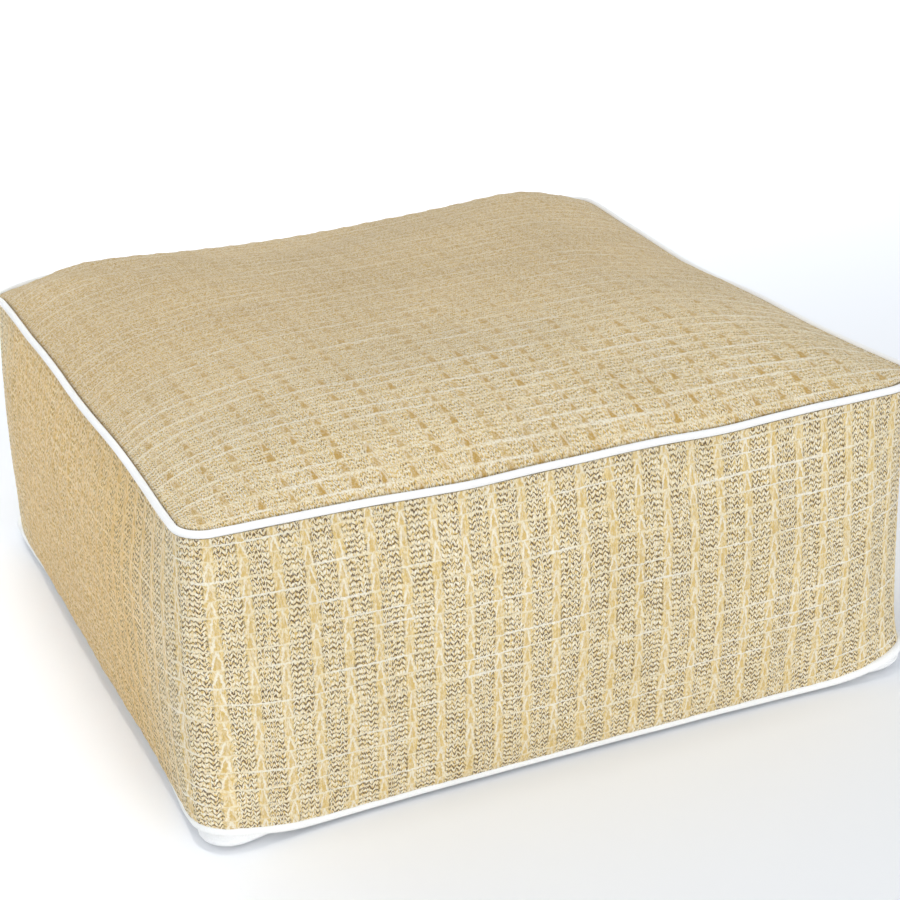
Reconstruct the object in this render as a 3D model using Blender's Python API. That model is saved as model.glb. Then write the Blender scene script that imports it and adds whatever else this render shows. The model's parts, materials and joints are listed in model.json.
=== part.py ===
"""Cube pouf stool: a low, square, filled cushion with piped edges, in metres, +Z up.

The pouf rests on the floor at z = 0 with its middle over the origin and its front towards -Y.
Its outline is a rounded rectangle that follows the middle of the piping. Every piece is a set
of rings round that outline: the wall between the two seams, the crown above, the base below.
"""
from math import cos, exp, pi, radians, sin, sqrt

import bpy
from mathutils import Matrix, Vector

# Driving dimensions
WIDTH = 0.600  # X, between the middles of the piping
DEPTH = 0.610  # Y, between the middles of the piping
SEAM_RISE = 0.243  # Z, from the bottom piping to the top piping
BASE_SEAM_Z = 0.0062  # middle of the bottom piping above the floor, half way along a side
BASE_DRAW_IN = 0.002  # the bottom seam lies this far inside the top seam
PIPING = 0.0056  # diameter of the piping
CLOTH = 0.0020  # thickness of the top and bottom panels
GAP = 0.0004  # clearance between neighbouring pieces

# Crown of the top and fall of the base
CROWN = 0.038  # height of the filled top above its seam
SEAM_ROLL = 0.0022  # small roll of cloth right beside the piping
SEAM_ROLL_REACH = 0.006
SEAM_WAVE_REACH = 0.070  # how far inwards the waves of a seam are felt

# Wall between the seams: shares of its height over which the fullness builds up
LOW_ROLL = 0.17
HIGH_ROLL = 0.46
HIGH_ROLL_POWER = 2.3  # how late the wall turns in under the top seam
FULLNESS_POWER = 0.4  # how far the fullness holds towards the ends of a side
CORNER_SPREAD = 0.030  # how far along the wall a corner's own shape reaches
LIFT_SPREAD = 0.040  # how far along the bottom seam a corner's lift reaches
FLARE_SPREAD = 0.075  # how far along the bottom seam a corner's flare reaches
FLARE_POWER = 3  # how soon the flare fades up the wall

# Sides, anticlockwise from the front. Bows are outward at the middle of the side.
# name, bow of the top seam, bow of the bottom seam, fullness of the wall, and how far from
# the top seam the crown takes to round over
SIDES = (
    ("front", 0.006, -0.003, 0.0105, 0.048),
    ("right", -0.015, -0.007, 0.0120, 0.055),
    ("back", -0.014, -0.007, 0.0120, 0.031),
    ("left", -0.002, -0.003, 0.0165, 0.044),
)

# Corners, anticlockwise, each at the end of the side in the same row above.
# name, radius at the seams, how far the wall is drawn in, lift of the bottom seam, droop of
# the top seam and flare of the bottom seam
CORNERS = (
    ("front right", 0.040, 0.003, 0.0120, 0.000, 0.0030),
    ("back right", 0.026, 0.005, 0.0105, 0.005, 0.0040),
    ("back left", 0.022, 0.000, 0.0105, 0.009, 0.0040),
    ("front left", 0.022, -0.009, 0.0130, 0.000, 0.0063),
)

# Waves in the top seam: side, place along it from -1 to 1, rise, half length of the wave
SEAM_WAVES = (
    ("front", -0.72, 0.0010, 0.060),
    ("front", -0.33, -0.0016, 0.045),
    ("front", 0.20, 0.0012, 0.060),
    ("front", 0.45, -0.0014, 0.040),
    ("front", 0.78, 0.0009, 0.055),
    ("right", -0.30, 0.0022, 0.070),
    ("right", 0.12, -0.0024, 0.075),
    ("back", -0.35, 0.0020, 0.080),
    ("left", -0.55, -0.0018, 0.045),
    ("left", 0.06, -0.0028, 0.075),
    ("left", 0.56, 0.0024, 0.075),
    ("left", 0.92, -0.0020, 0.030),
)

# Soft hollows and swells of the crown: x, y, rise, radius
CROWN_SWELLS = (
    (-0.04, 0.23, -0.0160, 0.150),
    (0.25, 0.26, 0.0100, 0.080),
    (0.10, 0.24, -0.0050, 0.090),
    (-0.25, 0.26, 0.0045, 0.060),
    (0.14, -0.12, 0.0025, 0.120),
    (-0.12, -0.10, -0.0020, 0.100),
)

# Mesh density
SIDE_STEPS = 18
END_CROWDING = 0.5  # 0 spaces the steps of a side evenly, 1 crowds them towards its ends
CORNER_STEPS = 6
WALL_STEPS = 11
PIPING_SIDES = 8
CROWN_INSETS = (0.0, 0.005, 0.012, 0.022, 0.036, 0.056, 0.088, 0.138, 0.205)
SHARP_ANGLE = 50  # degrees, edges sharper than this stay crisp

# Rings of the base, from its rim to where it lies flat on the floor.
# inset and share of the fall half way along a side, then the same at a corner
BASE_RINGS = (
    (0.000, 0.00, 0.0000, 0.00),
    (0.006, 0.30, -0.0010, 0.26),
    (0.014, 0.58, -0.0038, 0.54),
    (0.024, 0.82, -0.0010, 0.84),
    (0.042, 1.00, 0.0100, 1.00),
)

HALF_WIDTH = WIDTH / 2
HALF_DEPTH = DEPTH / 2
PIPING_CLEAR = PIPING / 2 + GAP  # nearest a cloth surface comes to the middle of the piping
TOP_SEAM_Z = BASE_SEAM_Z + SEAM_RISE
RIM_INSET = 0.0035  # where the panels start, inside the middle of the piping
RIM_RISE = 0.0010  # and how far above it the top panel's outer face starts


class Station:
    """One place on the outline: where it is, which way is out, and how it sits on its side."""

    def __init__(self, point, normal, side, place):
        self.point = point
        self.normal = normal
        self.side = side
        self.place = place
        self.side_share = max(0.0, 1 - place * place)  # 1 half way along a side, 0 at its ends
        # per corner, 1 in the middle of the corner
        self.corner_share = self.nearness(CORNER_SPREAD)
        self.lift_share = self.nearness(LIFT_SPREAD)
        self.flare_share = self.nearness(FLARE_SPREAD)

    def nearness(self, reach):
        shares = []
        for index, (x_end, y_end) in enumerate(((1, -1), (1, 1), (-1, 1), (-1, -1))):
            inset = CORNERS[index][1] * (1 - sqrt(0.5))
            tip = Vector((x_end * (HALF_WIDTH - inset), y_end * (HALF_DEPTH - inset)))
            shares.append(exp(-((self.point - tip).length / reach) ** 2))
        return shares


def outline():
    """Stations round the rounded rectangle, anticlockwise from the front left corner."""
    ends = (
        (Vector((-1, -1)), Vector((1, -1))),
        (Vector((1, -1)), Vector((1, 1))),
        (Vector((1, 1)), Vector((-1, 1))),
        (Vector((-1, 1)), Vector((-1, -1))),
    )
    outs = (Vector((0, -1)), Vector((1, 0)), Vector((0, 1)), Vector((-1, 0)))
    half = Vector((HALF_WIDTH, HALF_DEPTH))
    stations = []
    for side in range(4):
        along = (ends[side][1] - ends[side][0]) / 2
        start = Vector([e * h for e, h in zip(ends[side][0], half)])
        end = Vector([e * h for e, h in zip(ends[side][1], half)])
        start += along * CORNERS[side - 1][1]
        end -= along * CORNERS[side][1]
        length = (end - start).length
        for step in range(SIDE_STEPS):
            even = step / SIDE_STEPS
            share = even - END_CROWDING * sin(2 * pi * even) / (2 * pi)
            point = start.lerp(end, share)
            middle = (start + end) / 2
            place = (point - middle).dot(along) / (length / 2)
            stations.append((point, outs[side], side, place))
        radius = CORNERS[side][1]
        centre = end - outs[side] * radius
        for step in range(CORNER_STEPS):
            turn = pi / 2 * step / CORNER_STEPS
            out = outs[side] * cos(turn) + along * sin(turn)
            stations.append((centre + out * radius, out, side, 1.0))
    return [Station(*row) for row in stations]


def wall_fullness(share):
    """How full the wall is at a share of its height: 0 at both seams, 1 in between."""
    if share < LOW_ROLL:
        return sqrt(max(0.0, 1 - (1 - share / LOW_ROLL) ** 2))
    if share > 1 - HIGH_ROLL:
        return 1 - ((share - 1 + HIGH_ROLL) / HIGH_ROLL) ** HIGH_ROLL_POWER
    return 1.0


def seam_wave(station):
    rise = 0.0
    for name, place, height, reach in SEAM_WAVES:
        if SIDES[station.side][0] == name:
            half_side = HALF_WIDTH if name in ("front", "back") else HALF_DEPTH
            rise += height * exp(-(((station.place - place) * half_side / reach) ** 2))
    return rise * sqrt(station.side_share)


def seam_point(station, share):
    """The middle line of the piping at a seam, or the plain wall between the seams."""
    top_bow, base_bow = SIDES[station.side][1:3]
    bow = top_bow * share + base_bow * (1 - share)
    flare = sum(c[5] * s for c, s in zip(CORNERS, station.flare_share))
    out = bow * station.side_share - BASE_DRAW_IN * (1 - share)
    out += flare * (1 - share) ** FLARE_POWER
    lift = sum(c[3] * s for c, s in zip(CORNERS, station.lift_share))
    droop = sum(c[4] * s for c, s in zip(CORNERS, station.corner_share))
    low = BASE_SEAM_Z + lift
    high = TOP_SEAM_Z + seam_wave(station) - droop
    flat = station.point + station.normal * out
    return Vector((flat.x, flat.y, low * (1 - share) + high * share))


def wall_point(station, share):
    bulge = SIDES[station.side][3] * station.side_share**FULLNESS_POWER
    draw_in = sum(c[2] * s for c, s in zip(CORNERS, station.corner_share))
    out = (bulge - draw_in) * wall_fullness(share)
    return seam_point(station, share) + station.normal.to_3d() * out


def inset_point(station, share, inset):
    """A point of a seam's ring drawn in towards the middle of the pouf."""
    seam = seam_point(station, share)
    scale = 1 - inset / HALF_WIDTH
    return Vector((seam.x * scale, seam.y * scale, seam.z))


def crown_rise(x, y):
    """Height of the filled top above its seam at a place in plan."""
    across = 1 - (x / HALF_WIDTH) ** 2
    along = 1 - (y / HALF_DEPTH) ** 2
    room = (
        y + HALF_DEPTH + SIDES[0][1] * across,
        HALF_WIDTH + SIDES[1][1] * along - x,
        HALF_DEPTH + SIDES[2][1] * across - y,
        x + HALF_WIDTH + SIDES[3][1] * along,
    )
    full = 1.0
    roll = 1.0
    for distance, side in zip(room, SIDES):
        inside = max(0.0, distance - RIM_INSET)
        full *= 1 - exp(-inside / side[4])
        roll *= 1 - exp(-inside / SEAM_ROLL_REACH)
    swell = sum(
        rise * exp(-((x - px) ** 2 + (y - py) ** 2) / reach**2)
        for px, py, rise, reach in CROWN_SWELLS
    )
    return RIM_RISE + CROWN * full + SEAM_ROLL * roll + swell * full


def crown_point(station, inset):
    """Outer face of the top panel."""
    point = inset_point(station, 1, RIM_INSET + inset)
    keep = exp(-inset / SEAM_WAVE_REACH)
    point.z = point.z * keep + TOP_SEAM_Z * (1 - keep) + crown_rise(point.x, point.y)
    return point


def base_point(station, row):
    """Outer face of the bottom panel: from the bottom seam it falls to its flat middle."""
    side_inset, side_fall, corner_inset, corner_fall = row
    share = min(1.0, sum(station.flare_share)) ** 2
    inset = side_inset * (1 - share) + corner_inset * share
    fall = side_fall * (1 - share) + corner_fall * share
    point = inset_point(station, 0, RIM_INSET + inset)
    point.z = (point.z - CLOTH / 2) * (1 - fall)
    return point


def ring_normals(rings):
    """Normals of a stack of rings, each running anticlockwise, stacked inwards and up."""
    normals = []
    for level, ring in enumerate(rings):
        count = len(ring)
        below = rings[max(level - 1, 0)]
        above = rings[min(level + 1, len(rings) - 1)]
        row = []
        for index in range(count):
            around = ring[(index + 1) % count] - ring[index - 1]
            inward = above[index] - below[index]
            row.append(around.cross(inward).normalized())
        normals.append(row)
    return normals


def shifted(rings, normals, distance):
    return [
        [point + normal * distance for point, normal in zip(ring, row)]
        for ring, row in zip(rings, normals)
    ]


def band(faces, low, high, count, outwards=False):
    """Two triangles for each step round, between the rings that start at low and high.

    The diagonals run the same way on every layer, so that facing layers stay parallel.
    """
    for index in range(count):
        after = (index + 1) % count
        if outwards:
            faces.append((low + index, low + after, high + index))
            faces.append((low + after, high + after, high + index))
        else:
            faces.append((low + index, low + after, high + after))
            faces.append((low + index, high + after, high + index))


def cap(faces, vertices, ring, start, up):
    """Close a stack: one flat face on a level ring, a fan to its middle on any other."""
    count = len(ring)
    if max(p.z for p in ring) - min(p.z for p in ring) < 1e-6:
        loop = list(range(start, start + count))
        faces.append(tuple(loop if up else reversed(loop)))
        return
    vertices.append(tuple(sum(ring, Vector()) / count))
    centre = len(vertices) - 1
    for index in range(count):
        here = start + index
        after = start + (index + 1) % count
        faces.append((here, after, centre) if up else (after, here, centre))


def loft(name, rings, outward_levels):
    """A capped solid through rings that run anticlockwise and go up the outside.

    The first levels of the stack run from the middle of the underside out to its edge.
    """
    count = len(rings[0])
    vertices = [tuple(point) for ring in rings for point in ring]
    faces = []
    for level in range(len(rings) - 1):
        band(faces, level * count, (level + 1) * count, count, level < outward_levels)
    cap(faces, vertices, rings[0], 0, False)
    cap(faces, vertices, rings[-1], (len(rings) - 1) * count, True)
    return add_object(name, vertices, faces)


def add_object(name, vertices, faces):
    mesh = bpy.data.meshes.new(name)
    mesh.from_pydata(vertices, [], faces)
    mesh.validate()
    mesh.shade_smooth()
    mesh.set_sharp_from_angle(angle=radians(SHARP_ANGLE))
    piece = bpy.data.objects.new(name, mesh)
    bpy.context.scene.collection.objects.link(piece)
    return piece


def finish(piece, material):
    piece.data.materials.append(material)
    return piece


def centre(pieces):
    """Move the pieces so that the middle of the pouf's box is over the origin."""
    points = [vertex.co for piece in pieces for vertex in piece.data.vertices]
    middle = Vector()
    for axis in range(2):
        values = [point[axis] for point in points]
        middle[axis] = (min(values) + max(values)) / 2
    for piece in pieces:
        piece.data.transform(Matrix.Translation(-middle))


def cloth_material(name, colour, roughness):
    material = bpy.data.materials.new(name)
    material.use_nodes = True
    shader = material.node_tree.nodes["Principled BSDF"]
    shader.inputs["Base Color"].default_value = (*colour, 1)
    shader.inputs["Roughness"].default_value = roughness
    shader.inputs["Metallic"].default_value = 0.0
    return material


def groove(stations, share, turns):
    """Rings of the filled body round the inner side of a seam's piping."""
    rings = []
    for turn in turns:
        ring = []
        for station in stations:
            out = station.normal.to_3d() * (PIPING_CLEAR * cos(radians(turn)))
            up = Vector((0, 0, PIPING_CLEAR * sin(radians(turn))))
            ring.append(seam_point(station, share) + out + up)
        rings.append(ring)
    return rings


def panel_rings(stations, rows, surface):
    return [[surface(station, row) for station in stations] for row in rows]


def boxed_body(stations):
    """The filled cushion with the boxing as its side, under the top and bottom panels."""
    under_cloth = CLOTH + GAP
    base = panel_rings(stations, BASE_RINGS, base_point)
    base = list(reversed(shifted(base, ring_normals(base), under_cloth + GAP)))
    crown = panel_rings(stations, CROWN_INSETS, crown_point)
    crown = shifted(crown, ring_normals(crown), -under_cloth)
    wall = []
    for step in range(1, WALL_STEPS):
        share = (1 - cos(pi * step / WALL_STEPS)) / 2
        wall.append([wall_point(station, share) for station in stations])
    low_groove = groove(stations, 0, (150, 105, 65))
    high_groove = groove(stations, 1, (-70, -110, -150))
    rings = base + low_groove + wall + high_groove + crown
    return loft("boxed_body", rings, len(base) - 1)


def top_panel(stations):
    """The straw square over the crown."""
    outer = panel_rings(stations, CROWN_INSETS, crown_point)
    inner = shifted(outer, ring_normals(outer), -CLOTH)
    return sheet("top_panel", outer, inner)


def bottom_panel(stations):
    """The white square under the pouf, flat where it rests."""
    outer = panel_rings(stations, BASE_RINGS, base_point)
    inner = shifted(outer, ring_normals(outer), CLOTH)
    return sheet("bottom_panel", inner, outer)


def sheet(name, upper, lower):
    """A closed sheet between two stacks of rings that both run from the rim inwards."""
    return loft(name, list(reversed(lower)) + upper, len(lower) - 1)


def piping(name, stations, share):
    """A round cord all the way round a seam."""
    count = len(stations)
    vertices = []
    for side in range(PIPING_SIDES):
        turn = 2 * pi * (side + 0.5) / PIPING_SIDES
        for station in stations:
            out = station.normal.to_3d() * (PIPING / 2 * cos(turn))
            up = Vector((0, 0, PIPING / 2 * sin(turn)))
            vertices.append(tuple(seam_point(station, share) + out + up))
    faces = []
    for side in range(PIPING_SIDES):
        band(faces, side * count, (side + 1) % PIPING_SIDES * count, count)
    return add_object(name, vertices, faces)


def main():
    for old in list(bpy.data.objects):
        bpy.data.objects.remove(old, do_unlink=True)
    stations = outline()
    straw = cloth_material("straw weave", (0.58, 0.46, 0.26), 0.75)
    straw_top = cloth_material("straw weave top", (0.60, 0.48, 0.28), 0.75)
    white_cloth = cloth_material("white cloth", (0.86, 0.86, 0.85), 0.80)
    white_piping = cloth_material("white piping", (0.90, 0.90, 0.89), 0.65)
    white_piping_low = cloth_material("white piping low", (0.89, 0.89, 0.88), 0.65)
    pieces = (
        finish(boxed_body(stations), straw),
        finish(top_panel(stations), straw_top),
        finish(bottom_panel(stations), white_cloth),
        finish(piping("top_piping", stations, 1), white_piping),
        finish(piping("bottom_piping", stations, 0), white_piping_low),
    )
    centre(pieces)


main()
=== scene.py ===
# Cube pouf stool: a low square pouf in straw cloth with white piping, on a pale studio floor.
import json
import math

import bpy
import numpy as np
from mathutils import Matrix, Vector

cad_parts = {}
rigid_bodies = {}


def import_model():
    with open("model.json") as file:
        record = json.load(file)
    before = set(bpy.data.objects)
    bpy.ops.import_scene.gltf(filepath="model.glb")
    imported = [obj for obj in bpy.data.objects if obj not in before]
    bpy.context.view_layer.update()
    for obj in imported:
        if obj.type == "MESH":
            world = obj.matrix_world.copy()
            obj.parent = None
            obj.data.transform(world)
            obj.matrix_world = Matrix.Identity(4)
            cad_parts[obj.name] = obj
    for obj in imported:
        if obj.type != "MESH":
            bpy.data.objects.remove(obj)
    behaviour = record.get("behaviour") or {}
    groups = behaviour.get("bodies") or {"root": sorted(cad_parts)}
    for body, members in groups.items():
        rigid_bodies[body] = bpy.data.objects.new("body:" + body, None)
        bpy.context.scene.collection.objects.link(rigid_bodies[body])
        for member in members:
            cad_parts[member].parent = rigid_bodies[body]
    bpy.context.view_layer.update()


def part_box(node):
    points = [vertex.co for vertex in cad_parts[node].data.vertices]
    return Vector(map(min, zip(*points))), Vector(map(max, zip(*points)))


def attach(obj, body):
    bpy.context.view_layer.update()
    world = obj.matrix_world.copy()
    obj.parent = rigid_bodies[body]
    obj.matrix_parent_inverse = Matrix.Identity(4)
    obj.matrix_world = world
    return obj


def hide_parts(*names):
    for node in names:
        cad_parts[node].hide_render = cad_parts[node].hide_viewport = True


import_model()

# Shape of the pouf: the same measures as the solids, in metres. Sides and corners run
# anticlockwise from the front and the front right. A bow is outward at the middle of a side.
pouf = {
    "width": 0.600,
    "depth": 0.610,
    "seamRise": 0.243,
    "baseSeam": 0.0062,
    "baseDrawIn": 0.002,
    "pipingRadius": 0.0028,
    "groove": 0.0032,
    "rimInset": 0.0035,
    "rimRise": 0.0010,
    "rimDrop": 0.001,
    "crown": 0.038,
    "seamRoll": 0.0022,
    "seamRollReach": 0.006,
    "seamWaveReach": 0.070,
    "lowRoll": 0.17,
    "highRoll": 0.46,
    "highRollPower": 2.3,
    "fullnessPower": 0.4,
    "cornerSpread": 0.030,
    "topBow": (0.006, -0.015, -0.014, -0.002),
    "baseBow": (-0.003, -0.007, -0.007, -0.003),
    "fullness": (0.0105, 0.0120, 0.0120, 0.0165),
    "crownReach": (0.048, 0.055, 0.031, 0.044),
    "radius": (0.040, 0.026, 0.022, 0.022),
    "liftSpread": 0.040,
    "flareSpread": 0.075,
    "flarePower": 3,
    "curlPower": 1.5,
    "drawIn": (0.003, 0.005, 0.000, -0.009),
    "lift": (0.0120, 0.0105, 0.0105, 0.0130),
    "droop": (0.000, 0.005, 0.009, 0.000),
    "flare": (0.0030, 0.0040, 0.0040, 0.0063),
}

# side, place along it from -1 to 1, rise, half length
seamWaves = (
    (0, -0.72, 0.0010, 0.060),
    (0, -0.33, -0.0016, 0.045),
    (0, 0.20, 0.0012, 0.060),
    (0, 0.45, -0.0014, 0.040),
    (0, 0.78, 0.0009, 0.055),
    (1, -0.30, 0.0022, 0.070),
    (1, 0.12, -0.0024, 0.075),
    (2, -0.35, 0.0020, 0.080),
    (3, -0.55, -0.0018, 0.045),
    (3, 0.06, -0.0028, 0.075),
    (3, 0.56, 0.0024, 0.075),
    (3, 0.92, -0.0020, 0.030),
)

# x, y, rise, radius
crownSwells = (
    (-0.04, 0.23, -0.0160, 0.150),
    (0.25, 0.26, 0.0100, 0.080),
    (0.10, 0.24, -0.0050, 0.090),
    (-0.25, 0.26, 0.0045, 0.060),
    (0.14, -0.12, 0.0025, 0.120),
    (-0.12, -0.10, -0.0020, 0.100),
)

halfW = pouf["width"] / 2
halfD = pouf["depth"] / 2
topSeam = pouf["baseSeam"] + pouf["seamRise"]
alongSide = np.array(((1, 0), (0, 1), (-1, 0), (0, -1)), float)
outSide = np.array(((0, -1), (1, 0), (0, 1), (-1, 0)), float)
cornerAt = np.array(((1, -1), (1, 1), (-1, 1), (-1, -1)), float) * (halfW, halfD)

# The solids are centred by their box, so the outline's own middle is read from the piping.
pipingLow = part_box("top_piping")[0]
middleX = pipingLow.x + halfW + pouf["pipingRadius"]
middleY = pipingLow.y + halfD + pouf["topBow"][0] + pouf["pipingRadius"]


def outline(t):
    # t runs 0 to 4 round the seams, whole numbers at the corners, from the front left
    t = np.asarray(t, float) % 4
    side = np.floor(t).astype(int) % 4
    part = t - np.floor(t)
    radius = np.array(pouf["radius"])
    radius0, radius1 = radius[side - 1], radius[side]
    along, outward = alongSide[side], outSide[side]
    start, end = cornerAt[side - 1], cornerAt[side]
    straight = np.abs(((end - start) * along).sum(-1)) - radius0 - radius1
    run = part * (straight + (radius0 + radius1) * math.pi / 4)
    arc = radius0 * math.pi / 4
    lastArc = run - arc - straight
    first, last = run < arc, lastArc > 0
    turn = np.where(first, run / radius0 - math.pi / 4, np.where(last, lastArc / radius1, 0.0))[..., None]
    normal = outward * np.cos(turn) + along * np.sin(turn)
    bend = np.where(first, radius0, radius1)[..., None]
    centre = np.where(first[..., None], start + (along - outward) * bend, end - (along + outward) * bend)
    flat = start + along * (radius0 + run - arc)[..., None]
    point = np.where((first | last)[..., None], centre + normal * bend, flat)
    place = np.where(first, -1.0, np.where(last, 1.0, 2 * (run - arc) / straight - 1))
    sideShare = np.clip(1 - place * place, 0, None)
    tips = cornerAt - np.sign(cornerAt) * (radius * (1 - math.sqrt(0.5)))[:, None]
    far = np.linalg.norm(point[..., None, :] - tips, axis=-1)
    cornerShare, liftShare, flareShare = (
        np.exp(-((far / pouf[spread]) ** 2)) for spread in ("cornerSpread", "liftSpread", "flareSpread")
    )
    return {
        "side": side, "place": place, "point": point, "normal": normal,
        "sideShare": sideShare, "cornerShare": cornerShare, "liftShare": liftShare,
        "flareShare": flareShare,
    }


def ofSide(station, key):
    return np.array(pouf[key])[station["side"]]


def ofCorner(station, key, reach="cornerShare"):
    return (station[reach] * np.array(pouf[key])).sum(-1)


def seamWave(station):
    rise = np.zeros(station["place"].shape)
    for side, place, height, reach in seamWaves:
        half = halfW if side in (0, 2) else halfD
        bump = height * np.exp(-(((station["place"] - place) * half / reach) ** 2))
        rise += np.where(station["side"] == side, bump, 0)
    return rise * np.sqrt(station["sideShare"])


def seamPoint(station, share):
    # the middle of the piping: share 0 at the bottom seam, 1 at the top seam
    bow = ofSide(station, "topBow") * share + ofSide(station, "baseBow") * (1 - share)
    out = bow * station["sideShare"] - pouf["baseDrawIn"] * (1 - share)
    out = out + ofCorner(station, "flare", "flareShare") * (1 - share) ** pouf["flarePower"]
    low = pouf["baseSeam"] + ofCorner(station, "lift", "liftShare")
    high = topSeam + seamWave(station) - ofCorner(station, "droop")
    flat = station["point"] + station["normal"] * out[..., None]
    return np.concatenate([flat, (low * (1 - share) + high * share)[..., None]], -1)


def wallFullness(share):
    low, high = pouf["lowRoll"], pouf["highRoll"]
    up = np.sqrt(np.clip(1 - np.clip(1 - share / low, 0, 1) ** 2, 0, 1))
    down = 1 - np.clip((share - 1 + high) / high, 0, 1) ** pouf["highRollPower"]
    return np.where(share < low, up, down)


def wallPoint(station, share):
    bulge = ofSide(station, "fullness") * station["sideShare"] ** pouf["fullnessPower"]
    out = (bulge - ofCorner(station, "drawIn")) * wallFullness(share)
    normal = np.concatenate([station["normal"], np.zeros(station["normal"].shape[:-1] + (1,))], -1)
    return seamPoint(station, share) + normal * out[..., None]


def crownRise(x, y):
    across, along = 1 - (x / halfW) ** 2, 1 - (y / halfD) ** 2
    bow = pouf["topBow"]
    room = (
        y + halfD + bow[0] * across,
        halfW + bow[1] * along - x,
        halfD + bow[2] * across - y,
        x + halfW + bow[3] * along,
    )
    full, roll = 1.0, 1.0
    for distance, reach in zip(room, pouf["crownReach"]):
        inside = np.clip(distance - pouf["rimInset"], 0, None)
        full = full * (1 - np.exp(-inside / reach))
        roll = roll * (1 - np.exp(-inside / pouf["seamRollReach"]))
    swell = sum(
        rise * np.exp(-((x - px) ** 2 + (y - py) ** 2) / reach**2)
        for px, py, rise, reach in crownSwells
    )
    return pouf["rimRise"] + pouf["crown"] * full + pouf["seamRoll"] * roll + swell * full


def squareToOutline(p, q):
    # p and q from -1 to 1 over the square panel: how near the edge, and where round it
    m = np.maximum(np.maximum(np.abs(p), np.abs(q)), 1e-9)
    a, b = p / m, q / m
    front, right = b <= -1 + 1e-9, a >= 1 - 1e-9
    back = b >= 1 - 1e-9
    t = np.where(
        front, (a + 1) / 2,
        np.where(right, 1 + (b + 1) / 2, np.where(back, 2 + (1 - a) / 2, 3 + (1 - b) / 2)),
    )
    return m, t


def crownPoint(p, q, inset):
    m, t = squareToOutline(p, q)
    station = outline(t)
    seam = seamPoint(station, np.ones(t.shape))
    m = m * (1 - inset / halfW)
    flat = np.stack([p * halfW, q * halfD], -1) * (1 - inset / halfW)
    blend = (m**3)[..., None]
    plan = flat * (1 - blend) + seam[..., :2] * m[..., None] * blend
    keep = np.exp(-((1 - m) * halfW - inset) / pouf["seamWaveReach"])
    z = seam[..., 2] * keep + topSeam * (1 - keep) + crownRise(plan[..., 0], plan[..., 1])
    return np.concatenate([plan, z[..., None]], -1)


# Rings of the base. inset and fall half way along a side, then the same at a corner
baseRings = np.array((
    (0.000, 0.00, 0.0000, 0.00),
    (0.006, 0.30, -0.0010, 0.26),
    (0.014, 0.58, -0.0038, 0.54),
    (0.024, 0.82, -0.0010, 0.84),
    (0.042, 1.00, 0.0100, 1.00),
))


def basePoint(station, step):
    # step runs 0 at the rim to 4 where the base lies flat
    table = [smoothRow(baseRings[:, column], step) for column in range(4)]
    share = np.clip(station["flareShare"].sum(-1), 0, 1) ** pouf["curlPower"]
    inset = table[0] * (1 - share) + table[2] * share
    fall = table[1] * (1 - share) + table[3] * share
    seam = seamPoint(station, np.zeros(share.shape))
    scale = (1 - (pouf["rimInset"] + inset) / halfW)[..., None]
    z = (seam[..., 2] - pouf["rimDrop"]) * (1 - fall)
    return np.concatenate([seam[..., :2] * scale, z[..., None]], -1)


def smoothRow(values, where):
    # a smooth curve through a short table, without overshoot at its last row
    slope = np.gradient(values)
    slope[-1] = 0
    row = np.clip(np.floor(where).astype(int), 0, len(values) - 2)
    part = where - row
    return (
        values[row] * (1 + 2 * part) * (1 - part) ** 2 + slope[row] * part * (1 - part) ** 2
        + values[row + 1] * part * part * (3 - 2 * part) + slope[row + 1] * part * part * (part - 1)
    )


# Mesh helpers
def addMesh(name, points, faces, uvs=None, shift=True):
    mesh = bpy.data.meshes.new(name)
    points = np.asarray(points, float).reshape(-1, 3).copy()
    if shift:
        points[:, 0] += middleX
        points[:, 1] += middleY
    mesh.from_pydata(points.tolist(), [], faces)
    for label, corners in (uvs or {}).items():
        layer = mesh.uv_layers.new(name=label)
        layer.data.foreach_set("uv", np.asarray(corners, np.float32).ravel())
    piece = bpy.data.objects.new(name, mesh)
    bpy.context.scene.collection.objects.link(piece)
    return piece


def activate(piece):
    bpy.ops.object.select_all(action="DESELECT")
    bpy.context.view_layer.objects.active = piece
    piece.select_set(True)


def finishPiece(piece, material, slot, *nodes):
    activate(piece)
    bpy.ops.object.shade_smooth()
    piece.data.materials.clear()
    piece.data.materials.append(material)
    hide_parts(*nodes)
    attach(piece, "root")


def gridFaces(rows, columns, wrap=False):
    # quads of a grid stored row by row, outward when rows go up and columns anticlockwise
    row = np.arange(rows - 1)[:, None]
    column = np.arange(columns if wrap else columns - 1)[None, :]
    here = row * columns + column
    after = row * columns + (column + 1) % columns
    return np.stack([here, after, after + columns, here + columns], -1).reshape(-1, 4)


def rimOf(ids):
    # the edge of a square grid, anticlockwise from the front left
    return np.concatenate([ids[0, :-1], ids[:-1, -1], ids[-1, :0:-1], ids[:0:-1, 0]])


def distanceToEdge(p, q):
    return np.minimum(np.minimum(1 + p, 1 - p) * halfW, np.minimum(1 + q, 1 - q) * halfD)


def runAlong(points):
    # the length along a line of points, from its first one
    return np.concatenate([[0], np.cumsum(np.linalg.norm(np.diff(points, axis=0), axis=1))])


def cubicWeights(where, count, wrap):
    base = np.floor(where).astype(int)
    part = where - base
    weights = np.stack([
        -0.5 * part + part * part - 0.5 * part**3,
        1 - 2.5 * part * part + 1.5 * part**3,
        0.5 * part + 2 * part * part - 1.5 * part**3,
        -0.5 * part * part + 0.5 * part**3,
    ], -1)
    near = base[:, None] + np.arange(-1, 3)
    near = near % count if wrap else np.clip(near, 0, count - 1)
    return near, weights


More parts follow.
